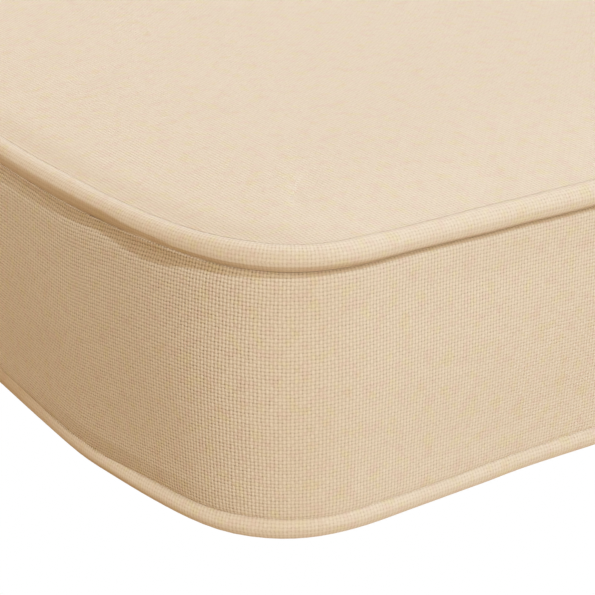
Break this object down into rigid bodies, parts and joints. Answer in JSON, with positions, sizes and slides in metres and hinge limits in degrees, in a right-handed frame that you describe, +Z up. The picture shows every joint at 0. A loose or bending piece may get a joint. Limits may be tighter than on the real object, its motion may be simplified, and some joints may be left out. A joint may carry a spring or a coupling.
{
  "type": "bench cushion",
  "caption": "Long box-edge bench seat cushion in plain-woven canvas, with a crowned top, swollen boxing and self piping round both edges.",
  "frame": {"origin": "middle of the underside, on the surface that the cushion lies on", "axes": "+X along the cushion's length, +Y from its front to its back, +Z up through its thickness"},
  "size_m": [1.2253, 0.4591, 0.084],
  "materials": {
    "boxing_canvas": "matt plain-woven canvas in cream and tan yarn",
    "panel_canvas": "matt plain-woven canvas in cream and tan yarn",
    "piping_canvas": "matt plain-woven canvas in cream and tan yarn, wrapped round a cord"
  },
  "bodies": {
    "root": {"filled_boxing": "boxing_canvas", "top_panel": "panel_canvas", "bottom_panel": "panel_canvas", "top_piping": "piping_canvas", "bottom_piping": "piping_canvas"}
  },
  "joints": []
}
